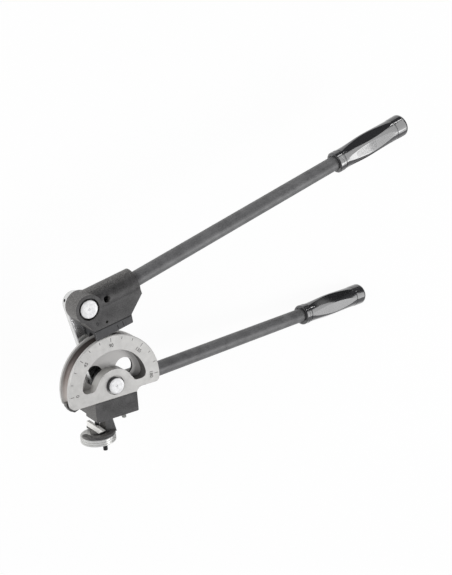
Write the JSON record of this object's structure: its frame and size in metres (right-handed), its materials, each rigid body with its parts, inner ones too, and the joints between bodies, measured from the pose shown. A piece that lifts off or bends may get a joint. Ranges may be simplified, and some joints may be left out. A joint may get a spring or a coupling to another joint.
{
  "type": "lever pipe bender",
  "caption": "Hand lever bender for small pipe: half-round former with a scale and a vise lug, a link and lever head with a bending shoe, and two tubular handles with grips.",
  "frame": {"origin": "on the pivot axis, at the back face of the frame casting and of the pivot pin", "axes": "+Z along the pivot, out of the engraved face of the former; +X towards the 180 mark and along the lower handle; +Y towards the 90 mark"},
  "size_m": [0.5493, 0.3309, 0.1351],
  "materials": {
    "former_metal": "satin cast and engraved",
    "link_metal": "bright satin",
    "dark_casting": "dark grey satin over cast metal",
    "shoe_metal": "dark grey, blackened",
    "handle_paint": "dark grey hammered paint",
    "grip_plastic": "gloss",
    "bright_steel": "bright plated",
    "zinc_steel": "zinc plated",
    "black_steel": "black oxide",
    "bush_brass": "turned"
  },
  "bodies": {
    "frame": {"frame_casting": "dark_casting", "bend_former": "former_metal", "former_screw": "zinc_steel", "bracket_screw": "zinc_steel", "pivot_pin": "bright_steel", "pivot_spacer": "bright_steel", "pivot_grub_screw": "black_steel", "lower_handle_tube": "handle_paint", "lower_roll_pin": "black_steel", "lower_grip": "grip_plastic", "clamp_bracket": "dark_casting"},
    "link": {"link_plate": "link_metal", "link_bush": "bush_brass", "link_grub_screw": "black_steel", "lever_pin": "bright_steel"},
    "lever": {"lever_casting": "dark_casting", "lever_bush": "bush_brass", "bending_shoe": "shoe_metal", "shoe_pin": "black_steel", "upper_handle_tube": "handle_paint", "upper_roll_pin": "black_steel", "upper_grip": "grip_plastic"},
    "knob": {"clamp_knob": "zinc_steel", "clamp_screw": "black_steel", "knob_peg": "black_steel"},
    "jaw": {"clamp_jaw": "zinc_steel"}
  },
  "joints": [
    {"name": "link_pivot", "type": "hinge", "parent": "frame", "child": "link", "pos_m": [0, 0, 0.032], "axis": [0, 0, 1], "range_deg": [-102.6, 77.4]},
    {"name": "lever_pivot", "type": "hinge", "parent": "link", "child": "lever", "pos_m": [-0.02554, 0.10236, 0.05], "axis": [0, 0, 1], "range_deg": [0, 110]},
    {"name": "knob_turn", "type": "hinge", "parent": "frame", "child": "knob", "pos_m": [-0.0235, -0.069, 0.052], "axis": [0, 1, 0], "range_deg": [0, 1008]},
    {"name": "jaw_slide", "type": "slide", "parent": "frame", "child": "jaw", "axis": [0, 1, 0], "range_m": [0, 0.007]}
  ],
  "couplings": [
    {"joint": "jaw_slide", "follows": "knob_turn", "m_per_rad": 0.00039789}
  ]
}
